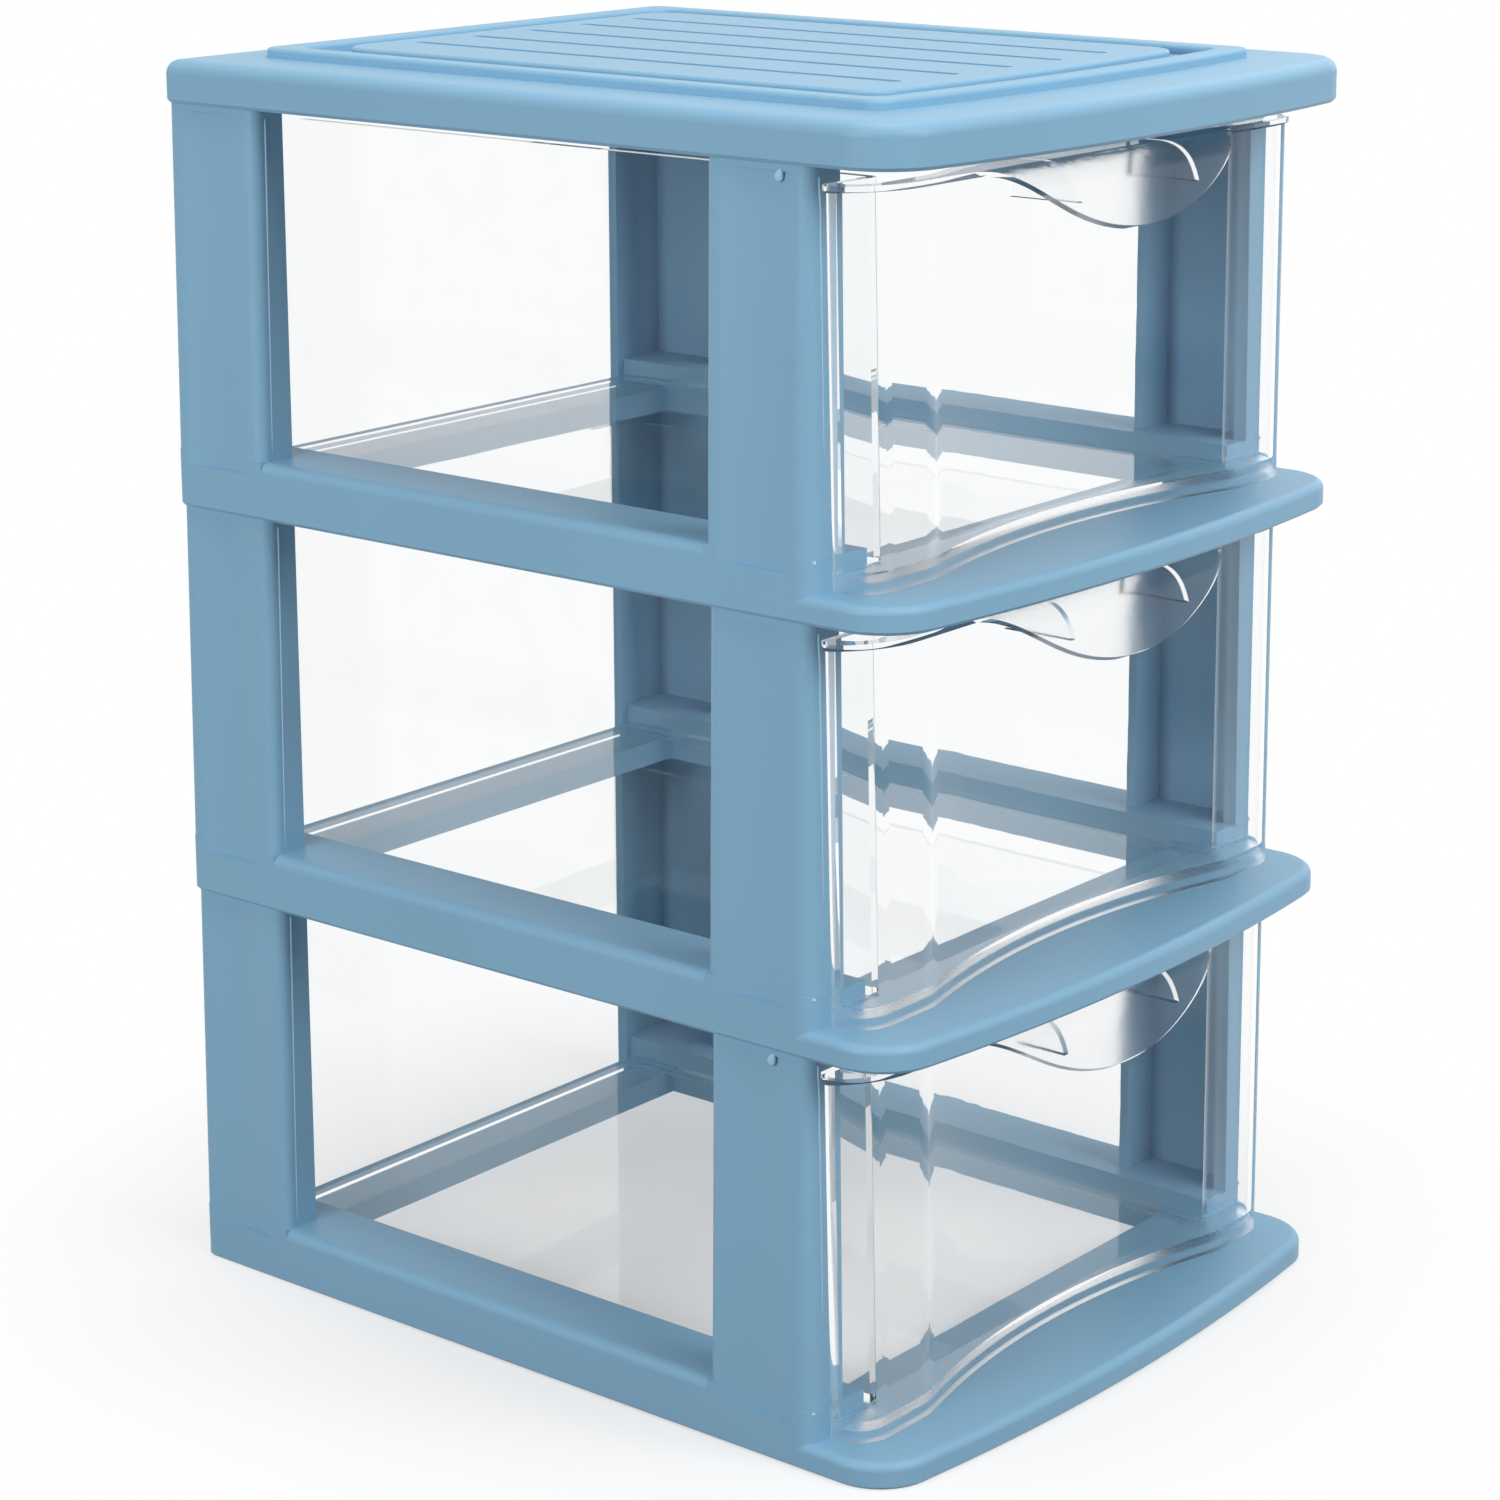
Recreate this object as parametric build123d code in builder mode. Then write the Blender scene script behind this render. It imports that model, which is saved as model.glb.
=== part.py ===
# Stacking drawer organizer for a vanity: three tier frames, a top cover and three clear
# drawers.  Millimetres, +Z up.  X runs across the front, -Y is the front, and the origin
# is the middle of the footprint, on the surface that the organizer stands on.
from build123d import *
from dataclasses import dataclass
from math import cos, radians, sin, sqrt, tan
import os

# Footprint shared by every tier and the cover
width = 173.0
depth = 215.0
front_bow = 6.5
front_corner_radius = 14.0
rear_corner_radius = 2.0
edge_chamfer = 0.8

# Tier frame
tier_names = ["lower", "middle", "upper"]
frame_wall = 2.2
rail_width = 18.0
rail_height = 13.5
bar_height = 6.1
back_bar_depth = 18.0
front_bar_depth = 39.7
rail_edge_radius = 2.5
lip_edge_radius = 2.0
mould_draft = 0.75

# Posts: open channels that face the drawer
front_post_setback = 26.7
front_post_width = 28.8
rear_post_width = 28.0
front_end_flange = 10.9
front_window_flange = 13.6
rear_end_flange = 20.5
rear_window_flange = 10.1
post_edge_radius_foot = 4.5
post_edge_radius = 3.0
window_edge_radius = 2.8

# Shallow scoop down the outer face of each post
scoop_depth = 0.9
scoop_foot_height = 10.3
scoop_top_gap = 1.5
scoop_margin = 4.5

# Plug on each post that locates the piece above
plug_height = 5.0
plug_wall = 2.0
plug_depth = 7.0
plug_clearance = 0.25
post_head_thickness = 2.4
socket_rib_thickness = 1.8
rib_root = 0.1

# Top cover
cover_face_height = 6.8
cover_edge_radius = 3.0
cover_plate = 2.2
ridge_side_inset = 17.1
ridge_rear_inset = 14.1
ridge_front_inset = 18.7
ridge_width = 6.0
ridge_height = 2.2
ridge_corner_radius = 4.0
ridge_edge_radius = 0.9
tray_gap = 6.4
pad_corner_radius = 8.0
groove_count = 5
groove_spacing = 19.0
groove_width = 2.6
groove_depth = 1.0
groove_rear_margin = 7.0
groove_front_margin = 9.0

# Clear drawer
running_gap = 0.3
drawer_height = 83.6
rim_clearance = 3.8
drawer_wall = 2.0
drawer_floor = 2.2
drawer_foot = 2.0
drawer_side_gap = 2.2
drawer_rear_gap = 6.5
drawer_corner_radius = 6.0
front_half_width = 80.5
front_lobe_reach = 10.2
front_hollow = 8.0
hollow_half_width = 57.0
hollow_edge_radius = 15.0
lobe_corner_radius = 8.5
shoulder_corner_radius = 1.5
flange_thickness = 1.3
flange_side_overhang = 3.4
flange_front_overhang = 2.8
flange_straight_half = 66.0
flange_tip_setback = 3.2
flange_tip_radius = 1.5

# Curved pull on the drawer front, with two gussets under it
pull_half_width = 46.0
pull_reach = 10.9
pull_drop = 15.0
pull_tip_angle = 75.0
pull_end_radius = 12.0
pull_shoulder = 14.0
gusset_half_spacing = 22.0
gusset_thickness = 1.6
gusset_drop = 8.5

# Places that follow from the sizes above
half_width = width / 2
rear = depth / 2
front_middle = -depth / 2
bow_radius = (half_width**2 + front_bow**2) / (2 * front_bow)
rail_inner = half_width - rail_width
bar_rear_edge = front_middle + front_bar_depth
back_bar_front = rear - back_bar_depth
channel_inner = rail_inner + frame_wall
channel_outer = half_width - frame_wall
post_front = front_middle + front_post_setback
draft_slope = tan(radians(mould_draft))
drawer_bottom = bar_height + running_gap
drawer_top = drawer_bottom + drawer_height
tier_pitch = drawer_top + rim_clearance
post_top_inset = draft_slope * tier_pitch
levels = [tier_pitch * index for index in range(len(tier_names))]
cover_level = tier_pitch * len(tier_names)
cover_border = cover_face_height + cover_edge_radius

drawer_growth = draft_slope * drawer_height
body_half_width = rail_inner - drawer_side_gap
shoulder_foot = post_front - running_gap + draft_slope * drawer_bottom
drawer_rear = rear - drawer_rear_gap
flange_bottom = drawer_top - flange_thickness


def bow_line(y_middle, x):
    """Y on the bowed front line whose middle is at y_middle, at the given X."""
    return y_middle + bow_radius - sqrt(bow_radius**2 - x**2)


def footprint(z, inset=0.0):
    """Plan of the tiers and the cover: a rectangle with a bowed front."""
    side = half_width - inset
    back = rear - inset
    middle = front_middle + inset
    corner = bow_line(middle, side)
    with BuildSketch(Plane.XY.offset(z)) as plan:
        with BuildLine():
            Polyline((side, corner), (side, back), (-side, back), (-side, corner))
            ThreePointArc((-side, corner), (0, middle), (side, corner))
        make_face()
        corners = plan.vertices().group_by(Axis.Y)
        fillet(corners[0], front_corner_radius - inset)
        if rear_corner_radius > inset:
            fillet(plan.vertices().group_by(Axis.Y)[-1], rear_corner_radius - inset)
    return plan.sketch


def bowed_panel(z, side, back, middle, corner_radius):
    """Plan of a raised panel on the cover whose front follows the bow."""
    corner = bow_line(middle, side)
    with BuildSketch(Plane.XY.offset(z)) as plan:
        with BuildLine():
            Polyline((side, corner), (side, back), (-side, back), (-side, corner))
            ThreePointArc((-side, corner), (0, middle), (side, corner))
        make_face()
        fillet(plan.vertices(), corner_radius)
    return plan.sketch


def box_between(low, high, mode=Mode.ADD):
    """Box between two opposite corners, in the part under construction."""
    size = [b - a for a, b in zip(low, high)]
    middle = [(a + b) / 2 for a, b in zip(low, high)]
    with Locations(tuple(middle)):
        Box(size[0], size[1], size[2], mode=mode)


def add_rail(side):
    """Side rail with a rounded top edge along the window, flush with the posts."""
    corner_x = side * half_width
    with BuildSketch(Plane.XY.offset(edge_chamfer)) as plan:
        with Locations((side * (half_width - rail_width / 2), (post_front + rear) / 2)):
            Rectangle(rail_width, rear - post_front)
        front_vertex = plan.vertices().sort_by_distance((corner_x, post_front, edge_chamfer))[0]
        fillet(front_vertex, post_edge_radius_foot)
        rear_vertex = plan.vertices().sort_by_distance((corner_x, rear, edge_chamfer))[0]
        fillet(rear_vertex, rear_corner_radius)
    extrude(plan.sketch, amount=rail_height - edge_chamfer)
    window_front = post_front + front_post_width
    window_rear = rear - rear_post_width
    edge_x = side * (half_width - rail_edge_radius)
    edge_z = rail_height - rail_edge_radius
    with BuildSketch(Plane.XZ.offset(-window_front)) as rounding:
        with Locations((edge_x + side * rail_edge_radius / 2, edge_z + rail_edge_radius / 2)):
            Rectangle(rail_edge_radius, rail_edge_radius)
        with Locations((edge_x, edge_z)):
            Circle(rail_edge_radius, mode=Mode.SUBTRACT)
    extrude(rounding.sketch, amount=-(window_rear - window_front), mode=Mode.SUBTRACT)


def add_opening_walls():
    """Walls down from the bars and the rails round the open middle of the ring."""
    with BuildSketch() as walls:
        middle_y = (bar_rear_edge + back_bar_front) / 2
        length = back_bar_front - bar_rear_edge
        with Locations((0, middle_y)):
            Rectangle(2 * channel_inner, length + 2 * frame_wall)
            Rectangle(2 * rail_inner, length, mode=Mode.SUBTRACT)
    extrude(walls.sketch, amount=bar_height)


def drawer_lobe(z):
    """Y of the two front lobes of the drawer at height z."""
    return shoulder_foot + draft_slope * (z - drawer_bottom) - front_lobe_reach


def drawer_plan(z, inset=0.0):
    """Plan of the drawer at height z: a box body behind a wider front with a hollow."""
    growth = draft_slope * (z - drawer_bottom)
    body = body_half_width + growth
    front = front_half_width + growth
    shoulder = shoulder_foot + growth
    back = drawer_rear + growth
    lobe = drawer_lobe(z)
    hollow = lobe + front_hollow
    with BuildSketch(Plane.XY.offset(z)) as plan:
        with BuildLine():
            Polyline(
                (0, back),
                (body, back),
                (body, shoulder),
                (front, shoulder),
                (front, lobe),
                (hollow_half_width, lobe),
            )
            mirror(about=Plane.YZ)
            ThreePointArc((-hollow_half_width, lobe), (0, hollow), (hollow_half_width, lobe))
        make_face()
        for side in (-1, 1):
            for x, y, radius in (
                (body, back, drawer_corner_radius),
                (front, shoulder, shoulder_corner_radius),
                (front, lobe, lobe_corner_radius),
                (hollow_half_width, lobe, hollow_edge_radius),
            ):
                corner = plan.vertices().sort_by_distance((side * x, y, z))[0]
                fillet(corner, radius)
        if inset > 0:
            offset(amount=-inset, mode=Mode.REPLACE)
    return plan.sketch


def flange_plan():
    """Plan of the rim flange, only on the drawer's front, with rounded tips."""
    lobe = drawer_lobe(drawer_top)
    shoulder = lobe + front_lobe_reach
    front_edge = lobe - flange_front_overhang
    tip_x = front_half_width + drawer_growth + flange_side_overhang
    tip = (tip_x, shoulder - flange_tip_setback)
    with BuildSketch(Plane.XY.offset(flange_bottom)) as plan:
        with BuildLine():
            Line((0, front_edge), (flange_straight_half, front_edge))
            TangentArc((flange_straight_half, front_edge), tip, tangent=(1, 0))
            Polyline(tip, (tip_x - flange_tip_setback, shoulder), (0, shoulder))
            mirror(about=Plane.YZ)
        make_face()
        for side in (-1, 1):
            corner = plan.vertices().sort_by_distance((side * tip[0], tip[1], flange_bottom))[0]
            fillet(corner, flange_tip_radius)
    return plan.sketch


def post_section(z, side, post, end_radius):
    """Plan of one post: a web along the outer face and a flange at each end of it."""
    inset = draft_slope * z
    face = side * (half_width - inset)
    web = side * (half_width - inset - frame_wall)
    end_tip = side * (half_width - post.end_flange)
    window_tip = side * (half_width - post.window_flange)
    end = post.outer_y + post.end_slope * z
    end_wall = end + post.inward * frame_wall
    window_wall = post.inner_y - post.inward * frame_wall
    with BuildSketch(Plane.XY.offset(z)) as section:
        with BuildLine():
            Polyline(
                (end_tip, end),
                (face, end),
                (face, post.inner_y),
                (window_tip, post.inner_y),
                (window_tip, window_wall),
                (web, window_wall),
                (web, end_wall),
                (end_tip, end_wall),
                close=True,
            )
        make_face()
        for y, radius in ((end, end_radius), (post.inner_y, window_edge_radius)):
            corner = section.vertices().sort_by_distance((face, y, z))[0]
            fillet(corner, radius)
    return section.sketch


def add_post(side, post):
    """One drafted post with its head, its plug and the scoop on its outer face."""
    foot = bar_height - frame_wall / 2
    loft([
        post_section(foot, side, post, post.foot_radius),
        post_section(tier_pitch, side, post, post.top_radius),
    ], ruled=True)
    head_reach = half_width - min(post.end_flange, post.window_flange)
    head_face = half_width - post_top_inset - frame_wall / 2
    end_top = post.outer_y + post.end_slope * tier_pitch + post.inward * frame_wall / 2
    window_top = post.inner_y - post.inward * frame_wall / 2
    x_low, x_high = sorted((side * head_reach, side * head_face))
    y_low, y_high = sorted((end_top, window_top))
    box_between(
        (x_low, y_low, tier_pitch - post_head_thickness),
        (x_high, y_high, tier_pitch),
    )
    plug_outer = channel_outer - plug_clearance
    x_low, x_high = sorted((side * (plug_outer - plug_depth), side * plug_outer))
    y_low, y_high = plug_span(post)
    box_between(
        (x_low, y_low, tier_pitch - post_head_thickness / 2),
        (x_high, y_high, tier_pitch + plug_height),
    )
    box_between(
        (x_low + plug_wall, y_low + plug_wall, tier_pitch + plug_wall),
        (x_high - plug_wall, y_high - plug_wall, tier_pitch + plug_height),
        mode=Mode.SUBTRACT,
    )
    scoop_half = abs(post.inner_y - post.outer_y) / 2 - scoop_margin
    scoop_radius = (scoop_half**2 + scoop_depth**2) / (2 * scoop_depth)
    scoop_middle = (post.outer_y + post.inner_y) / 2
    circles = []
    for z in (scoop_foot_height, tier_pitch - scoop_top_gap):
        centre = half_width - draft_slope * z - scoop_depth + scoop_radius
        with BuildSketch(Plane.XY.offset(z)) as cut:
            with Locations((side * centre, scoop_middle)):
                Circle(scoop_radius)
        circles.append(cut.sketch)
    loft(circles, ruled=True, mode=Mode.SUBTRACT)


def plug_span(post):
    """Y range of the plug on a post, clear of the walls that the post has there."""
    low, high = sorted((post.outer_y, post.inner_y))
    return low + 2 * frame_wall + plug_clearance, high - frame_wall - plug_clearance


def add_sockets(base, ceiling):
    """Ribs across the side channels that hold the plugs of the posts below."""
    for side in (-1, 1):
        for post in posts:
            low, high = plug_span(post)
            ends = (side * (channel_inner - rib_root), side * (channel_outer + rib_root))
            x_low, x_high = sorted(ends)
            for y_low in (low - plug_clearance - socket_rib_thickness, high + plug_clearance):
                box_between(
                    (x_low, y_low, base + edge_chamfer),
                    (x_high, y_low + socket_rib_thickness, base + ceiling + rib_root),
                )


@dataclass
class Post:
    """A post's end face and window face in Y, its flanges and its outer end edge."""

    outer_y: float
    inner_y: float
    end_flange: float
    window_flange: float
    foot_radius: float
    top_radius: float
    end_slope: float

    @property
    def inward(self):
        return 1 if self.inner_y > self.outer_y else -1


posts = [
    Post(
        outer_y=post_front,
        inner_y=post_front + front_post_width,
        end_flange=front_end_flange,
        window_flange=front_window_flange,
        foot_radius=post_edge_radius_foot,
        top_radius=post_edge_radius,
        end_slope=draft_slope,
    ),
    # The rear face stands upright
    Post(
        outer_y=rear,
        inner_y=rear - rear_post_width,
        end_flange=rear_end_flange,
        window_flange=rear_window_flange,
        foot_radius=rear_corner_radius,
        top_radius=rear_corner_radius,
        end_slope=0,
    ),
]

# One tier frame, standing on the origin plane
with BuildPart() as tier:
    extrude(footprint(0), amount=bar_height)
    chamfer(tier.faces().sort_by(Axis.Z)[0].edges(), edge_chamfer)
    fillet(tier.faces().sort_by(Axis.Z)[-1].edges(), lip_edge_radius)
    for side in (-1, 1):
        add_rail(side)
    box_between(
        (-rail_inner, bar_rear_edge, -bar_height),
        (rail_inner, back_bar_front, rail_height),
        mode=Mode.SUBTRACT,
    )
    # The bars and the rails are hollow from below
    hollow = footprint(0, frame_wall)
    extrude(hollow, amount=bar_height - frame_wall, mode=Mode.SUBTRACT)
    for side in (-1, 1):
        x_low, x_high = sorted((side * channel_inner, side * channel_outer))
        box_between(
            (x_low, post_front + frame_wall, 0),
            (x_high, rear - frame_wall, rail_height - frame_wall),
            mode=Mode.SUBTRACT,
        )
    add_opening_walls()
    for side in (-1, 1):
        for post in posts:
            add_post(side, post)
    add_sockets(0, rail_height - frame_wall)

# Top cover, a shell with a ridge and a grooved pad
with BuildPart() as cover:
    extrude(footprint(cover_level), amount=cover_border)
    fillet(cover.faces().sort_by(Axis.Z)[-1].edges(), cover_edge_radius)
    chamfer(cover.faces().sort_by(Axis.Z)[0].edges(), edge_chamfer)
    border_level = cover_level + cover_border
    extrude(footprint(cover_level, frame_wall), amount=cover_border - cover_plate, mode=Mode.SUBTRACT)
    for inset, mode in (
        (0, Mode.ADD),
        (ridge_width, Mode.SUBTRACT),
        (ridge_width + tray_gap, Mode.ADD),
    ):
        extrude(
            bowed_panel(
                border_level,
                half_width - ridge_side_inset - inset,
                rear - ridge_rear_inset - inset,
                front_middle + ridge_front_inset + inset,
                pad_corner_radius if inset > ridge_width else ridge_corner_radius,
            ),
            amount=ridge_height,
            mode=mode,
        )
    fillet(cover.faces().group_by(Axis.Z)[-1].edges(), ridge_edge_radius)
    pad_inset = ridge_width + tray_gap + cover_plate
    pad_side = half_width - ridge_side_inset - pad_inset
    pad_rear = rear - ridge_rear_inset - pad_inset
    pad_front = front_middle + ridge_front_inset + pad_inset
    extrude(
        bowed_panel(border_level - cover_plate, pad_side, pad_rear, pad_front, pad_corner_radius),
        amount=ridge_height,
        mode=Mode.SUBTRACT,
    )
    for index in range(groove_count):
        x = (index - (groove_count - 1) / 2) * groove_spacing
        y_high = pad_rear + cover_plate - groove_rear_margin
        y_low = bow_line(pad_front - cover_plate + groove_front_margin, x)
        with BuildSketch(Plane.XY.offset(border_level + ridge_height)):
            with Locations((x, (y_low + y_high) / 2)):
                SlotOverall(y_high - y_low, groove_width, rotation=90)
        extrude(amount=-groove_depth, mode=Mode.SUBTRACT)
    add_sockets(cover_level, cover_border - cover_plate)

# Curved pull, a plate bent forward and down whose rim is an arc in a sloping plane
pull_root = drawer_lobe(drawer_top) - flange_front_overhang
pull_back = shoulder_foot - pull_root
pull_tip = (pull_root - pull_reach, drawer_top - pull_drop)
tip_direction = (-cos(radians(pull_tip_angle)), -sin(radians(pull_tip_angle)))
tip_inner = (
    pull_tip[0] - flange_thickness * tip_direction[1],
    pull_tip[1] + flange_thickness * tip_direction[0],
)
pull_tangents = ((-1, 0), tip_direction)
pull_chord = sqrt(pull_reach**2 + pull_drop**2)
pull_base_half = pull_half_width + pull_shoulder
rim_plane = Plane(
    origin=(0, pull_root, drawer_top),
    x_dir=(1, 0, 0),
    z_dir=(0, -pull_drop / pull_chord, pull_reach / pull_chord),
)
with BuildSketch(rim_plane) as pull_outline:
    with BuildLine():
        Polyline(
            (-pull_half_width, 0),
            (-pull_base_half, 0),
            (-pull_base_half, pull_back),
            (pull_base_half, pull_back),
            (pull_base_half, 0),
            (pull_half_width, 0),
        )
        ThreePointArc((-pull_half_width, 0), (0, -pull_chord), (pull_half_width, 0))
    make_face()
    for side in (-1, 1):
        end = pull_outline.vertices().sort_by_distance((side * pull_half_width, 0))[0]
        fillet(end, pull_end_radius)

with BuildPart() as pull:
    with BuildSketch(Plane.YZ):
        with BuildLine():
            Spline((pull_root, drawer_top), pull_tip, tangents=pull_tangents)
            Line(pull_tip, tip_inner)
            Spline((pull_root, flange_bottom), tip_inner, tangents=pull_tangents)
            Polyline(
                (pull_root, drawer_top),
                (shoulder_foot, drawer_top),
                (shoulder_foot, flange_bottom),
                (pull_root, flange_bottom),
            )
        make_face()
    extrude(amount=pull_base_half, both=True)
    extrude(pull_outline.sketch, amount=pull_chord + pull_back, both=True, mode=Mode.INTERSECT)

with BuildPart() as gussets:
    with BuildSketch(Plane.YZ):
        with BuildLine():
            Spline((pull_root, flange_bottom), tip_inner, tangents=pull_tangents)
            Polyline(
                (pull_root, flange_bottom),
                (shoulder_foot, flange_bottom),
                (shoulder_foot, tip_inner[1]),
                tip_inner,
            )
        make_face()
    extrude(amount=pull_half_width, both=True)
    extrude(pull_outline.sketch, amount=pull_chord + pull_back, both=True, mode=Mode.INTERSECT)
    with Locations(*[
        (side * gusset_half_spacing, pull_root, drawer_top - gusset_drop / 2) for side in (-1, 1)
    ]):
        Box(gusset_thickness, depth, gusset_drop, mode=Mode.INTERSECT)

# One clear drawer, in the place that it has on the lower tier
with BuildPart() as drawer:
    loft([drawer_plan(drawer_bottom), drawer_plan(drawer_top)], ruled=True)
    extrude(flange_plan(), amount=flange_thickness)
    add(pull.part)
    add(gussets.part)
    floor_level = drawer_bottom + drawer_foot + drawer_floor
    loft(
        [drawer_plan(floor_level, drawer_wall), drawer_plan(drawer_top, drawer_wall)],
        ruled=True,
        mode=Mode.SUBTRACT,
    )
    extrude(drawer_plan(drawer_bottom, drawer_wall), amount=drawer_foot, mode=Mode.SUBTRACT)

os.makedirs("parts", exist_ok=True)
cover.part.label = "top_cover"
export_step(cover.part, "parts/top_cover.step")
for name, level in zip(tier_names, levels):
    for kind, master in (("tier_frame", tier.part), ("drawer", drawer.part)):
        piece = master.moved(Location((0, 0, level)))
        piece.label = f"{name}_{kind}"
        export_step(piece, f"parts/{piece.label}.step")
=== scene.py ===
import math

import bmesh
import bpy
from mathutils import Matrix, Vector


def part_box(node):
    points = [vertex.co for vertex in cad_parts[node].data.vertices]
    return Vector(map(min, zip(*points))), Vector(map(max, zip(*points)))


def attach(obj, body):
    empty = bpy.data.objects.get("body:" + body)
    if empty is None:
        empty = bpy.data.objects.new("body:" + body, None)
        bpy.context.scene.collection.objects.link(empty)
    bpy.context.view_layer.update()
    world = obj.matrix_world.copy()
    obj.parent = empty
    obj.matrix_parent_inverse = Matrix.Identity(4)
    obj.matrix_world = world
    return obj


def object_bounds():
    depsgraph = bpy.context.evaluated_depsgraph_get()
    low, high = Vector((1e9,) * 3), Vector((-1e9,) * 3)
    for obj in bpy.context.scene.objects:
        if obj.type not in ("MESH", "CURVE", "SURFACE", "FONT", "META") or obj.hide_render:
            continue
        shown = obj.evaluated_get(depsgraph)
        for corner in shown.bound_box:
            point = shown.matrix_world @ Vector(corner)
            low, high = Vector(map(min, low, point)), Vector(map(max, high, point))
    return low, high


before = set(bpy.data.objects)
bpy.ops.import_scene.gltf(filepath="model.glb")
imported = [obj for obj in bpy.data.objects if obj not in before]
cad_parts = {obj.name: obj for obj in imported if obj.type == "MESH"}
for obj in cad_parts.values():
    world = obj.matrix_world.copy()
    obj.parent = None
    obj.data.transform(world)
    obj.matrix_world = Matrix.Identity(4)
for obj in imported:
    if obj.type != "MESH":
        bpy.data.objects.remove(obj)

bl_info = {
    "name": "Stacking Drawer Organizer",
    "version": (1, 0, 0),
    "blender": (4, 5, 0),
    "location": "View3D > Sidebar > Organizer",
    "description": "Finishes three open tiers, a grooved cover and three clear drawers",
    "category": "Object",
}

CAD_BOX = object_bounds()
TIERS = ("lower", "middle", "upper")
SIDES = (-1, 1)
MM = 0.001

# Marks on the posts, in millimetres from the middle of a tier's foot: a line has its lowest
# point, its highest point and its share of the waviness, and a leaf of flash has its tier.
# Angles are in radians
FRONT_LINE = ((81.6, -80.3, 34.0), (82.3, -79.6, 91.5), 1.0)
REAR_LINE = ((82.7, 79.5, 15.0), (81.7, 79.5, 91.5), 0.0)
BEAD = (84.26, -79.87, 12.9)
FLASH = (("upper", (-85.3, -71.8, 91.6)), ("lower", (-85.3, -69.5, 91.5)))
FLASH_LEAN = 0.35
LEAF_TAPER = 0.35
LEAF_CUTS = 3
LINE_SIDES = 8
LINE_CUTS = 24
WAVE_RADIANS = 31.0

# Front of a drawer's pull and of its foot, as Y in metres, and the height of the foot
PULL_START = -0.0935
PULL_BLEND = 0.002
FOOT_START = -0.0785
FOOT_HEIGHT = 0.0045
FOOT_BLEND = 0.0006

# Noise patterns in the plastics, each with its scale, its detail and its own roughness
CLOUDS = (14.0, 3.0, 0.5)
GRAIN = (2600.0, 2.0, 0.6)
SCUFFS = (160.0, 5.0, 0.7)
RIPPLE = (30.0, 1.0, 0.4)
HAZE = (90.0, 4.0, 0.6)
NOISE_MIDDLE = 0.5

# How the patterns are used: ranges of the noise, and bump heights in metres
SCUFF_STRETCH = (1.0, 6.0, 1.0)
SCUFF_RANGE = (0.60, 0.74)
HAZE_RANGE = (0.45, 0.85)
CLOUD_CONTRAST = 1.6
CLOUD_OFFSET = 0.3
GRAIN_HEIGHT = 0.00006
RIPPLE_HEIGHT = 0.0004

# Shares of the patterns in a plastic's roughness, and the roughness of plain clear plastic
CLOUD_ROUGHNESS = 0.08
GRAIN_ROUGHNESS = 0.06
SCUFF_ROUGHNESS = 0.05
HAZE_ROUGHNESS = 0.03
CLEAR_ROUGHNESS = 0.01

# Shares of the base colour: in the darkest and lightest clouds, on the gate mark, in the haze
CLOUD_SHADES = (0.965, 1.03)
GATE_SHADE = 1.25
HAZE_SHADE = 0.99

# Where the gate mark has faded out, in radii
GATE_EDGE = 1.3

# Refraction and reflection of the plastics
BLUE_IOR = 1.49
BLUE_SPECULAR = 0.3
CLEAR_IOR = 1.16
CLEAR_SPECULAR = 1.0
CLEAR_SHADOW = (0.995, 0.995, 0.995, 1.0)

# Studio floor and sky
FLOOR_SIDES = 96
FLOOR_ROUGHNESS = 0.75
WHITE = (1.0, 1.0, 1.0, 1.0)

# Soft boxes, in metres: the point that they face, then the place, width and height of each
LAMP_AIM = (0.0, 0.0, 0.15)
LAMPS = {
    "top": ((0.0, -0.1, 1.4), 1.0, 1.0),
    "left": ((-1.0, 0.05, 0.45), 0.5, 0.24),
    "right": ((1.3, 0.1, 0.7), 1.0, 1.0),
    "front": ((0.1, -1.3, 0.9), 1.0, 0.8),
}

# Camera at the photograph's angle: its place, aim and range in metres, its roll in degrees,
# its lens and sensor in millimetres
CAMERA_PLACE = (-0.68977, -0.56007, 0.38009)
CAMERA_AIM = (-0.0036, 0.0032, 0.1649)
CAMERA_ROLL = -0.170
CAMERA_LENS = 93.58
CAMERA_SENSOR = 36.0
CAMERA_SHIFT = -0.1
CAMERA_RANGE = (0.05, 60.0)

# A Mix node's sockets for colours, by their places in its lists
MIX_COLOURS = (6, 7)
MIX_RESULT = 2


# Shader values written as arithmetic

class Reading:
    """A socket in a shader whose arithmetic adds Math nodes."""

    def __init__(self, shader, socket):
        self.shader = shader
        self.socket = socket

    def maths(self, operation, *values):
        """A Math node that takes numbers and readings."""
        return self.shader.node(
            "ShaderNodeMath", {"operation": operation}, dict(enumerate(values)))

    def __add__(self, other):
        return self.maths("ADD", self, other)

    def __radd__(self, other):
        return self.maths("ADD", other, self)

    def __sub__(self, other):
        return self.maths("SUBTRACT", self, other)

    def __rsub__(self, other):
        return self.maths("SUBTRACT", other, self)

    def __mul__(self, other):
        return self.maths("MULTIPLY", self, other)

    def __truediv__(self, other):
        return self.maths("DIVIDE", self, other)

    def __mod__(self, other):
        return self.maths("FLOORED_MODULO", self, other)

    def clamped(self):
        return self.shader.node("ShaderNodeClamp", {}, {"Value": self})


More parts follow.
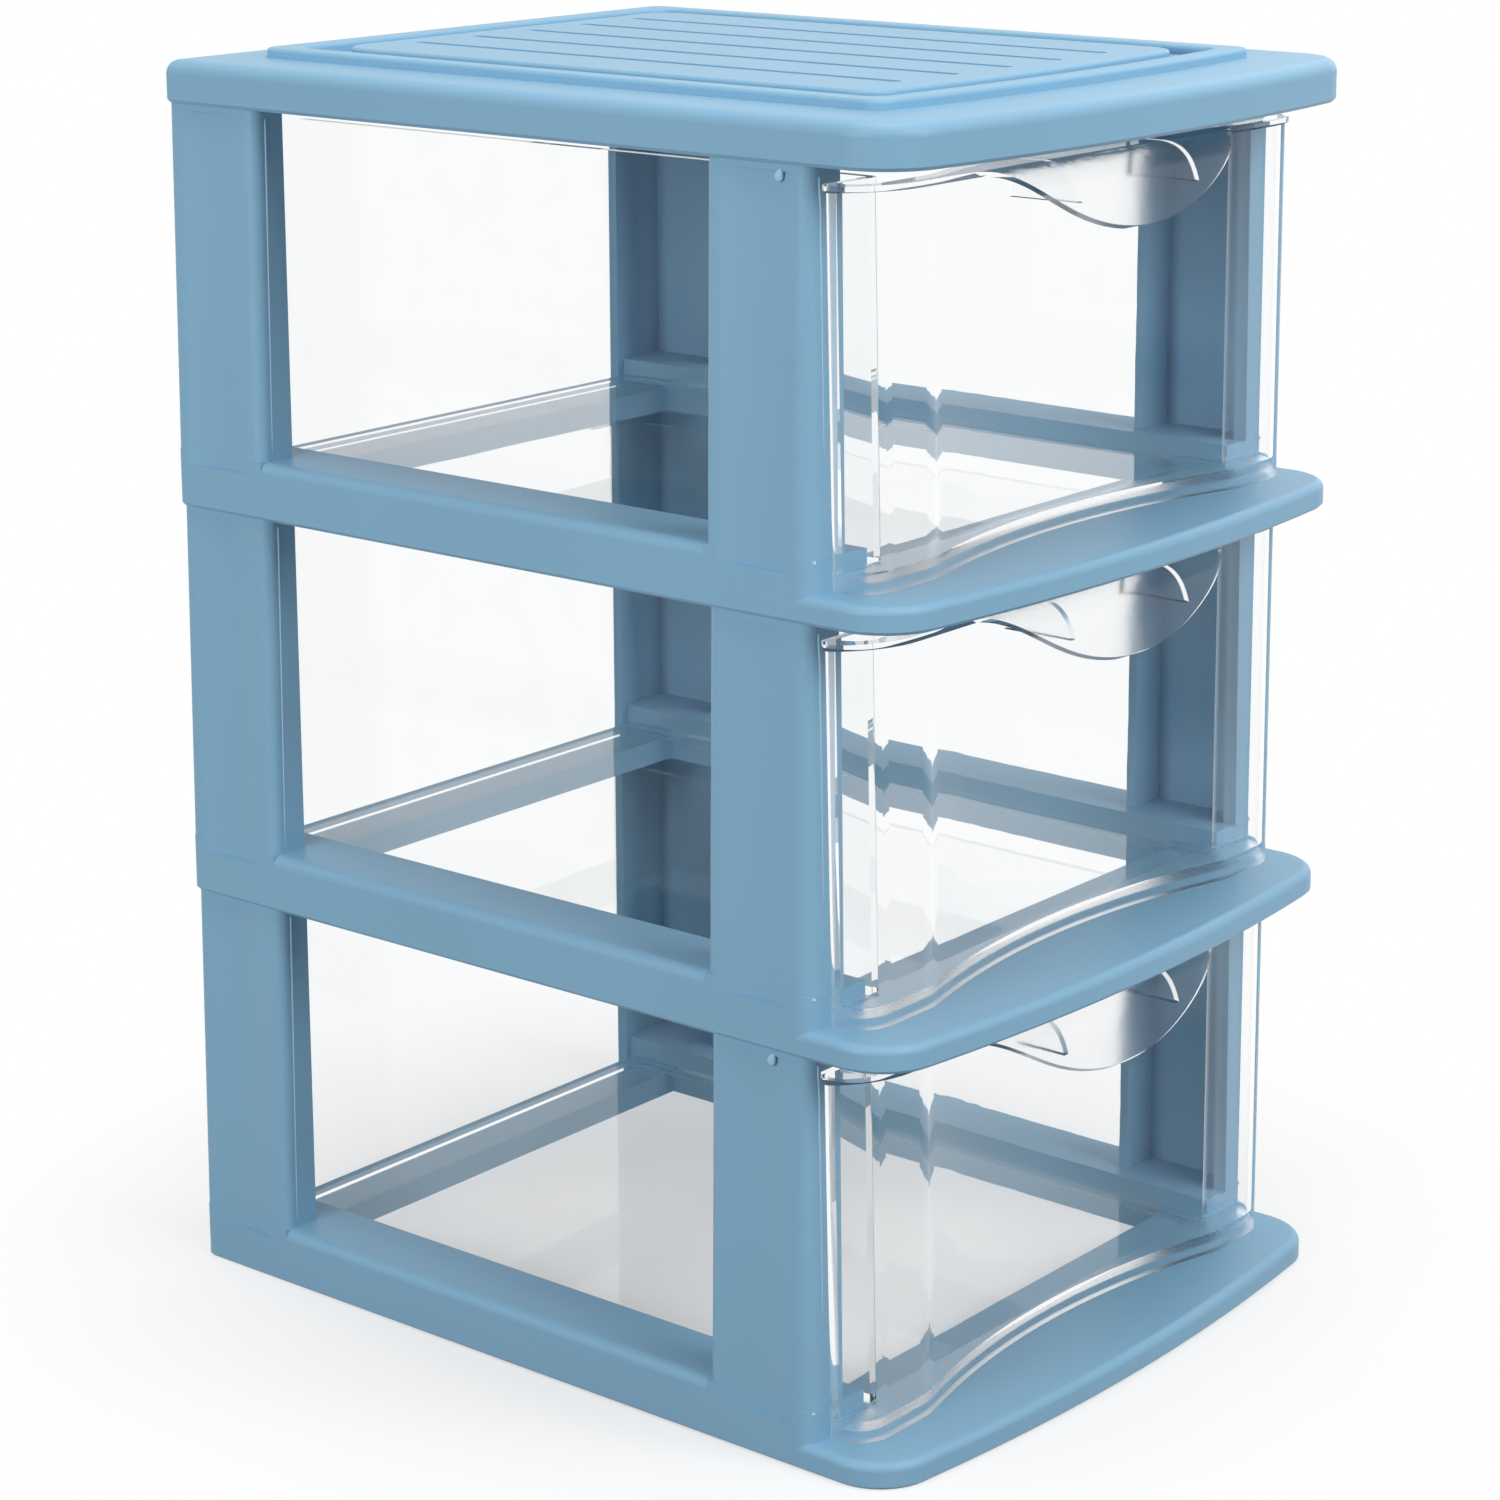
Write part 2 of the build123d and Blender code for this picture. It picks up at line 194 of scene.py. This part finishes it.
class Shader:
    """The nodes of a material or a world, made one at a time."""

    def __init__(self, owner):
        owner.use_nodes = True
        self.owner = owner
        self.tree = owner.node_tree
        self.tree.nodes.clear()

    def node(self, kind, settings=None, inputs=None, output=0):
        """A node with its settings, then its values and links. Returns one of its outputs."""
        made = self.tree.nodes.new(kind)
        for name, value in (settings or {}).items():
            setattr(made, name, value)
        for name, value in (inputs or {}).items():
            socket = made.inputs[name]
            if isinstance(value, Reading):
                self.tree.links.new(value.socket, socket)
            else:
                socket.default_value = value
        return Reading(self, made.outputs[output])

    def place(self, stretch=(1.0, 1.0, 1.0)):
        """Object coordinates, stretched along the axes."""
        spot = self.node("ShaderNodeTexCoord", output="Object")
        return self.node("ShaderNodeMapping", {}, {"Vector": spot, "Scale": stretch})

    def along(self, axis):
        """Object coordinate along one axis."""
        return self.node("ShaderNodeSeparateXYZ", {}, {0: self.place()}, output=axis)

    def noise(self, vector, scale, detail, roughness):
        """Noise with a value from 0 to 1."""
        return self.node("ShaderNodeTexNoise", {}, {
            "Vector": vector, "Scale": scale, "Detail": detail, "Roughness": roughness})

    def above(self, value, low, high):
        """0 where a value is under the low end of a range, rising to 1 at its high end."""
        ramp = self.node("ShaderNodeValToRGB", {}, {"Fac": value})
        black, white = ramp.socket.node.color_ramp.elements
        black.position, white.position = low, high
        return ramp

    def tint(self, factor, first, second):
        """A colour between two, by a factor from 0 to 1."""
        colours = {socket: colour if isinstance(colour, Reading) else (*colour, 1.0)
                   for socket, colour in zip(MIX_COLOURS, (first, second))}
        return self.node(
            "ShaderNodeMix", {"data_type": "RGBA"}, {"Factor": factor, **colours}, output=MIX_RESULT)

    def bump(self, height, strength, distance):
        """A normal that a height tilts."""
        return self.node("ShaderNodeBump", {}, {
            "Strength": strength, "Distance": distance, "Height": height})

    def blend(self, factor, first, second):
        """One surface where the factor is 0 and another where it is 1."""
        return self.node("ShaderNodeMixShader", {}, {0: factor, 1: first, 2: second})

    def seen(self):
        """1 for what the camera sees, also in a reflection and through clear plastic."""
        rays = [self.node("ShaderNodeLightPath", output=ray)
                for ray in ("Is Camera Ray", "Is Glossy Ray", "Is Transmission Ray")]
        return (rays[0] + rays[1] + rays[2]).clamped()

    def finish(self, surface, output="ShaderNodeOutputMaterial"):
        """Links the surface to the output and returns the finished material or world."""
        end = self.tree.nodes.new(output)
        self.tree.links.new(surface.socket, end.inputs["Surface"])
        return self.owner


# Materials

def satin_plastic(name, base, settings):
    """Satin moulded polypropylene: fine grain, faint flow clouds, light scuffs."""
    shader = Shader(bpy.data.materials.new(name))
    place = shader.place()
    clouds = shader.noise(place, *CLOUDS)
    grain = shader.noise(place, *GRAIN)
    scuffs = shader.above(shader.noise(shader.place(SCUFF_STRETCH), *SCUFFS), *SCUFF_RANGE)
    gate = shader.node("ShaderNodeVectorMath", {"operation": "DISTANCE"}, {
        0: shader.place(), 1: settings.gate_place}, output="Value")
    gate_mask = (GATE_EDGE - gate / settings.gate_radius).clamped()
    dark, light = (base * shade for shade in CLOUD_SHADES)
    clouded = shader.tint((clouds * CLOUD_CONTRAST - CLOUD_OFFSET).clamped(), dark, light)
    roughness = (
        settings.blue_roughness + (clouds - NOISE_MIDDLE) * CLOUD_ROUGHNESS
        + scuffs * SCUFF_ROUGHNESS + (grain - NOISE_MIDDLE) * GRAIN_ROUGHNESS)
    surface = shader.node("ShaderNodeBsdfPrincipled", {}, {
        "Base Color": shader.tint(gate_mask, clouded, base * GATE_SHADE),
        "Roughness": roughness.clamped(),
        "Normal": shader.bump(grain, settings.grain_strength, GRAIN_HEIGHT),
        "IOR": BLUE_IOR,
        "Specular IOR Level": BLUE_SPECULAR,
    })
    return shader.finish(surface)


def blue_plastic(settings):
    """The plastic of the tiers and the cover."""
    return satin_plastic("blue_polypropylene", Vector(settings.blue_colour), settings)


def painted_highlight_plastic(settings):
    """The same plastic made paler: a painted highlight on the thin raised lines, beads and flash."""
    return satin_plastic("blue_polypropylene_edge", Vector(settings.painted_highlight_colour), settings)


def drawer_foot(shader):
    """1 on the front of a drawer's foot and floor edge, and 0 elsewhere."""
    foot = lower_edge("lower_drawer")
    pitch = lower_edge("middle_drawer") - foot
    height = (shader.along("Z") - (foot - FOOT_BLEND)) % pitch
    low = ((FOOT_HEIGHT + FOOT_BLEND - height) / FOOT_BLEND).clamped()
    return low * ((FOOT_START - shader.along("Y")) / FOOT_BLEND).clamped()


def clear_plastic(settings):
    """Crystal polystyrene: clear and glossy, with a faint moulding ripple."""
    shader = Shader(bpy.data.materials.new("clear_polystyrene"))
    ripple = shader.noise(shader.place(), *RIPPLE)
    haze = shader.above(shader.noise(shader.place(), *HAZE), *HAZE_RANGE)
    base = Vector(settings.clear_colour)
    pull = ((PULL_START - shader.along("Y")) / PULL_BLEND).clamped()
    frost = pull * settings.pull_haze + drawer_foot(shader) * settings.foot_haze
    surface = shader.node("ShaderNodeBsdfPrincipled", {}, {
        "Base Color": shader.tint(haze, base, base * HAZE_SHADE),
        "Roughness": (haze * HAZE_ROUGHNESS + frost + CLEAR_ROUGHNESS).clamped(),
        "Normal": shader.bump(ripple, settings.ripple_strength, RIPPLE_HEIGHT),
        "IOR": CLEAR_IOR,
        "Specular IOR Level": CLEAR_SPECULAR,
        "Transmission Weight": 1.0,
    })
    straight = shader.node("ShaderNodeBsdfTransparent", {}, {"Color": CLEAR_SHADOW})
    for ray in ("Is Shadow Ray", "Is Reflection Ray"):
        surface = shader.blend(shader.node("ShaderNodeLightPath", output=ray), surface, straight)
    return shader.finish(surface)


def pale_floor(settings):
    """White studio floor that keeps a soft shadow and fades to plain white further out."""
    shader = Shader(bpy.data.materials.new("studio_floor"))
    away = shader.node(
        "ShaderNodeVectorMath", {"operation": "LENGTH"}, {0: shader.place()}, output="Value")
    fade = ((away - settings.shadow_reach) / settings.fade_width).clamped()
    shadow = (1.0 - fade) * settings.shadow_share
    matte = shader.node("ShaderNodeBsdfPrincipled", {}, {
        "Base Color": shader.tint(shader.seen(), settings.floor_bounce, settings.floor_colour),
        "Roughness": FLOOR_ROUGHNESS,
    })
    white = shader.node("ShaderNodeEmission", {}, {"Color": WHITE, "Strength": 1.0})
    return shader.finish(shader.blend(shader.seen() * (1.0 - shadow), matte, white))


def studio_world(settings):
    """White to the camera and in reflections, softer as a light on the object."""
    shader = Shader(bpy.data.worlds.new("studio"))
    strength = shader.seen() * (1.0 - settings.sky_strength) + settings.sky_strength
    background = shader.node("ShaderNodeBackground", {}, {"Color": WHITE, "Strength": strength})
    return shader.finish(background, "ShaderNodeOutputWorld")


# Settings

class PlasticSettings(bpy.types.PropertyGroup):
    """Colours and finish of the two plastics."""

    blue_colour: bpy.props.FloatVectorProperty(
        name="Blue", description="Colour of the tiers and the cover", subtype="COLOR",
        size=3, min=0.0, max=1.0, default=(0.236, 0.45, 0.625))
    # Paler copy of the blue: a painted highlight on the parting lines, beads and flash
    painted_highlight_colour: bpy.props.FloatVectorProperty(
        name="Pale blue", description="Colour of the thin parting lines and flash", subtype="COLOR",
        size=3, min=0.0, max=1.0, default=(0.42, 0.64, 0.82))
    blue_roughness: bpy.props.FloatProperty(
        name="Blue roughness", description="Satin finish of the tiers and the cover",
        default=0.42, min=0.0, max=1.0, subtype="FACTOR")
    grain_strength: bpy.props.FloatProperty(
        name="Grain", description="Strength of the fine moulded grain",
        default=0.25, min=0.0, max=1.0, subtype="FACTOR")
    gate_place: bpy.props.FloatVectorProperty(
        name="Gate mark", description="Place of the pale moulding gate mark on the cover",
        size=3, default=(0.0104, 0.0106, CAD_BOX[1][2]), subtype="XYZ", unit="LENGTH")
    gate_radius: bpy.props.FloatProperty(
        name="Gate radius", description="Radius of the gate mark",
        default=0.0009, min=0.0001, subtype="DISTANCE", unit="LENGTH")
    clear_colour: bpy.props.FloatVectorProperty(
        name="Clear", description="Tint of the clear drawers", subtype="COLOR",
        size=3, min=0.0, max=1.0, default=(0.98, 0.985, 0.987))
    ripple_strength: bpy.props.FloatProperty(
        name="Ripple", description="Strength of the moulding ripple in the drawers",
        default=0.15, min=0.0, max=1.0, subtype="FACTOR")
    pull_haze: bpy.props.FloatProperty(
        name="Pull haze", description="Roughness that frosts the drawers' curved pulls a little",
        default=0.16, min=0.0, max=1.0, subtype="FACTOR")
    foot_haze: bpy.props.FloatProperty(
        name="Foot haze", description="Roughness that frosts the front of the drawers' feet",
        default=0.4, min=0.0, max=1.0, subtype="FACTOR")


class MarkSettings(bpy.types.PropertyGroup):
    """Sizes of the small moulding marks on the posts."""

    line_radius: bpy.props.FloatProperty(
        name="Line radius", description="Radius of a parting line along a post",
        default=0.00026, min=0.00005, subtype="DISTANCE", unit="LENGTH")
    line_wave: bpy.props.FloatProperty(
        name="Line wave", description="How far a front parting line wanders near its top",
        default=0.00015, min=0.0, subtype="DISTANCE", unit="LENGTH")
    bead_radius: bpy.props.FloatProperty(
        name="Bead radius", description="Radius of the bead at the foot of a front post",
        default=0.0005, min=0.0001, subtype="DISTANCE", unit="LENGTH")
    flash_size: bpy.props.FloatVectorProperty(
        name="Flash", description="Half sizes of a leaf of flash at the top of a front post",
        size=3, default=(0.0006, 0.0010, 0.0015), subtype="XYZ", unit="LENGTH")


class StageSettings(bpy.types.PropertyGroup):
    """Floor, lamps and sky of the plain studio."""

    floor_colour: bpy.props.FloatVectorProperty(
        name="Floor", description="Colour of the floor near the organizer", subtype="COLOR",
        size=3, min=0.0, max=1.0, default=(0.95, 0.95, 0.95))
    floor_bounce: bpy.props.FloatVectorProperty(
        name="Floor bounce", description="Colour of the light that the floor throws back",
        subtype="COLOR", size=3, min=0.0, max=1.0, default=(0.25, 0.25, 0.25))
    floor_radius: bpy.props.FloatProperty(
        name="Floor radius", description="Radius of the round floor",
        default=9.0, min=1.0, subtype="DISTANCE", unit="LENGTH")
    shadow_reach: bpy.props.FloatProperty(
        name="Shadow reach", description="Distance from the middle where the floor starts to fade",
        default=0.07, min=0.0, subtype="DISTANCE", unit="LENGTH")
    fade_width: bpy.props.FloatProperty(
        name="Fade width", description="Width of the floor's fade to plain white",
        default=0.14, min=0.01, subtype="DISTANCE", unit="LENGTH")
    shadow_share: bpy.props.FloatProperty(
        name="Shadow", description="How much of the floor's shadow shows",
        default=0.6, min=0.0, max=1.0, subtype="FACTOR")
    sky_strength: bpy.props.FloatProperty(
        name="Sky", description="Strength of the even light from all round",
        default=0.2, min=0.0)
    top_power: bpy.props.FloatProperty(
        name="Top lamp", description="Power of the soft box overhead",
        default=8.8, min=0.0, unit="POWER")
    left_power: bpy.props.FloatProperty(
        name="Left lamp", description="Power of the soft box at the left",
        default=4.4, min=0.0, unit="POWER")
    right_power: bpy.props.FloatProperty(
        name="Right lamp", description="Power of the soft box at the right",
        default=2.4, min=0.0, unit="POWER")
    front_power: bpy.props.FloatProperty(
        name="Front lamp", description="Power of the soft box in front",
        default=12.8, min=0.0, unit="POWER")


# Helpers

def lower_edge(node):
    """Height of a node's foot."""
    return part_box(node)[0][2]


def dress(piece, material):
    """Gives a piece one material in its first slot."""
    piece.data.materials.clear()
    piece.data.materials.append(material)


def named_material(name, make, settings):
    """The material of that name, made the first time it is asked for."""
    return bpy.data.materials.get(name) or make(settings)


def linked(name, data):
    """A new object of the scene."""
    made = bpy.data.objects.new(name, data)
    bpy.context.scene.collection.objects.link(made)
    return made


def mesh_of(name, shape):
    """Turns a finished bmesh into a mesh."""
    mesh = bpy.data.meshes.new(name)
    shape.to_mesh(mesh)
    shape.free()
    return mesh


def aimed(place, aim):
    """Rotation that turns a lamp or a camera from its place to its aim."""
    return (Vector(aim) - Vector(place)).to_track_quat("-Z", "Y")


def soft_box(name, place, width, height, power):
    """A rectangular soft box that faces the organizer."""
    lamp = bpy.data.lights.new(name, "AREA")
    lamp.shape = "RECTANGLE"
    lamp.size = width
    lamp.size_y = height
    lamp.energy = power
    made = linked(name, lamp)
    made.location = place
    made.rotation_euler = aimed(place, LAMP_AIM).to_euler()
    made.visible_camera = False
    made.visible_transmission = False


def add_line(shape, low, high, radius, wave):
    """A thin raised line between two points, tapered down and a little wavy at its top."""
    length = (high - low).length
    line = bmesh.new()
    bmesh.ops.create_cone(
        line, cap_ends=True, segments=LINE_SIDES, radius1=radius / 2, radius2=radius, depth=length)
    uprights = [edge for edge in line.edges
                if abs(edge.verts[0].co.z - edge.verts[1].co.z) > length / 2]
    bmesh.ops.subdivide_edges(line, edges=uprights, cuts=LINE_CUTS, use_grid_fill=True)
    for point in line.verts:
        up = point.co.z / length + 0.5
        middle = low.lerp(high, up)
        point.co.x += middle.x + wave * up**3 * math.sin(up * WAVE_RADIANS)
        point.co.y += middle.y
        point.co.z = middle.z
    finished = mesh_of("line", line)
    shape.from_mesh(finished)
    bpy.data.meshes.remove(finished)


def add_leaf(shape, size, lean, spot):
    """A small rounded leaf that stands out of a face."""
    points = bmesh.ops.create_icosphere(shape, subdivisions=LEAF_CUTS, radius=1.0)["verts"]
    for point in points:
        point.co.y *= 1.0 - LEAF_TAPER * point.co.z
    matrix = Matrix.Translation(spot) @ Matrix.Rotation(lean, 4, "X") @ Matrix.Diagonal((*size, 1.0))
    bmesh.ops.transform(shape, matrix=matrix, verts=points)


def on_tier(tier, side, place):
    """A point given in millimetres from the middle of a tier's foot, on one side."""
    x, y, z = place
    return Vector((0.0, 0.0, lower_edge(f"{tier}_tier_frame"))) + Vector((side * x, y, z)) * MM


# Operators

class ORGANIZER_OT_tiers(bpy.types.Operator):
    """Finish the three tier frames in blue plastic"""

    bl_idname = "organizer.tiers"
    bl_label = "Tier frames"

    def execute(self, context):
        settings = context.scene.organizer_plastic
        material = named_material("blue_polypropylene", blue_plastic, settings)
        for tier in TIERS:
            dress(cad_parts[f"{tier}_tier_frame"], material)
        return {"FINISHED"}


class ORGANIZER_OT_cover(bpy.types.Operator):
    """Finish the top cover in blue plastic"""

    bl_idname = "organizer.cover"
    bl_label = "Top cover"

    def execute(self, context):
        settings = context.scene.organizer_plastic
        dress(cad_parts["top_cover"],
              named_material("blue_polypropylene", blue_plastic, settings))
        return {"FINISHED"}


class ORGANIZER_OT_drawers(bpy.types.Operator):
    """Finish the three drawers in clear plastic"""

    bl_idname = "organizer.drawers"
    bl_label = "Clear drawers"

    def execute(self, context):
        settings = context.scene.organizer_plastic
        material = named_material("clear_polystyrene", clear_plastic, settings)
        for tier in TIERS:
            dress(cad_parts[f"{tier}_drawer"], material)
        return {"FINISHED"}


class ORGANIZER_OT_marks(bpy.types.Operator):
    """Add the parting lines, beads and flash that moulding leaves on the posts"""

    bl_idname = "organizer.marks"
    bl_label = "Moulding marks"

    def execute(self, context):
        settings = context.scene.organizer_marks
        shapes = {name: bmesh.new() for name in ("parting_lines", "foot_beads", "flash_leaves")}
        for tier in TIERS:
            for side in SIDES:
                for low, high, wave in FRONT_LINE, REAR_LINE:
                    add_line(
                        shapes["parting_lines"], on_tier(tier, side, low), on_tier(tier, side, high),
                        settings.line_radius, settings.line_wave * wave)
                add_leaf(
                    shapes["foot_beads"], (settings.bead_radius,) * 3, 0.0, on_tier(tier, side, BEAD))
        for tier, place in FLASH:
            add_leaf(shapes["flash_leaves"], settings.flash_size, FLASH_LEAN, on_tier(tier, 1, place))
        # The marks are dressed in the paler blue, a painted highlight
        material = named_material(
            "blue_polypropylene_edge", painted_highlight_plastic, context.scene.organizer_plastic)
        for name, shape in shapes.items():
            bmesh.ops.recalc_face_normals(shape, faces=shape.faces)
            piece = linked(name, mesh_of(name, shape))
            piece.data.shade_smooth()
            dress(piece, material)
            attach(piece, "frame")
        return {"FINISHED"}


class ORGANIZER_OT_stage(bpy.types.Operator):
    """Add the floor, the soft boxes, the sky and the camera"""

    bl_idname = "organizer.stage"
    bl_label = "Stage"

    def execute(self, context):
        settings = context.scene.organizer_stage
        shape = bmesh.new()
        bmesh.ops.create_circle(
            shape, cap_ends=True, segments=FLOOR_SIDES, radius=settings.floor_radius)
        floor = linked("floor", mesh_of("floor", shape))
        dress(floor, pale_floor(settings))
        context.scene.world = studio_world(settings)
        for side, (place, width, height) in LAMPS.items():
            soft_box(f"{side}_lamp", place, width, height, getattr(settings, f"{side}_power"))
        place_camera(context.scene)
        return {"FINISHED"}


def place_camera(scene):
    """The camera at the photograph's angle and distance."""
    lens = bpy.data.cameras.new("camera")
    lens.sensor_width = CAMERA_SENSOR
    lens.lens = CAMERA_LENS
    lens.shift_y = CAMERA_SHIFT
    lens.clip_start, lens.clip_end = CAMERA_RANGE
    camera = linked("camera", lens)
    turned = aimed(CAMERA_PLACE, CAMERA_AIM).to_matrix().to_4x4()
    roll = Matrix.Rotation(math.radians(CAMERA_ROLL), 4, "Z")
    camera.matrix_world = Matrix.Translation(CAMERA_PLACE) @ turned @ roll
    scene.camera = camera
    scene.view_settings.view_transform = "Standard"


class ORGANIZER_PT_panel(bpy.types.Panel):
    """Sizes, colours and steps of the organizer"""

    bl_idname = "ORGANIZER_PT_panel"
    bl_label = "Drawer Organizer"
    bl_space_type = "VIEW_3D"
    bl_region_type = "UI"
    bl_category = "Organizer"

    def draw(self, context):
        scene = context.scene
        for group in (scene.organizer_plastic, scene.organizer_marks, scene.organizer_stage):
            for name in group.bl_rna.properties.keys():
                if name not in ("rna_type", "name"):
                    self.layout.prop(group, name)
        for step in STEPS:
            self.layout.operator(step.bl_idname)


GROUPS = (PlasticSettings, MarkSettings, StageSettings)
STEPS = (
    ORGANIZER_OT_tiers,
    ORGANIZER_OT_cover,
    ORGANIZER_OT_drawers,
    ORGANIZER_OT_marks,
    ORGANIZER_OT_stage,
)
CLASSES = (*GROUPS, *STEPS, ORGANIZER_PT_panel)


def register():
    for item in CLASSES:
        bpy.utils.register_class(item)
    bpy.types.Scene.organizer_plastic = bpy.props.PointerProperty(type=PlasticSettings)
    bpy.types.Scene.organizer_marks = bpy.props.PointerProperty(type=MarkSettings)
    bpy.types.Scene.organizer_stage = bpy.props.PointerProperty(type=StageSettings)


def unregister():
    del bpy.types.Scene.organizer_stage
    del bpy.types.Scene.organizer_marks
    del bpy.types.Scene.organizer_plastic
    for item in reversed(CLASSES):
        bpy.utils.unregister_class(item)


def main():
    register()
    bpy.ops.organizer.tiers()
    bpy.ops.organizer.cover()
    bpy.ops.organizer.drawers()
    bpy.ops.organizer.marks()
    bpy.ops.organizer.stage()


if __name__ == "__main__":
    main()
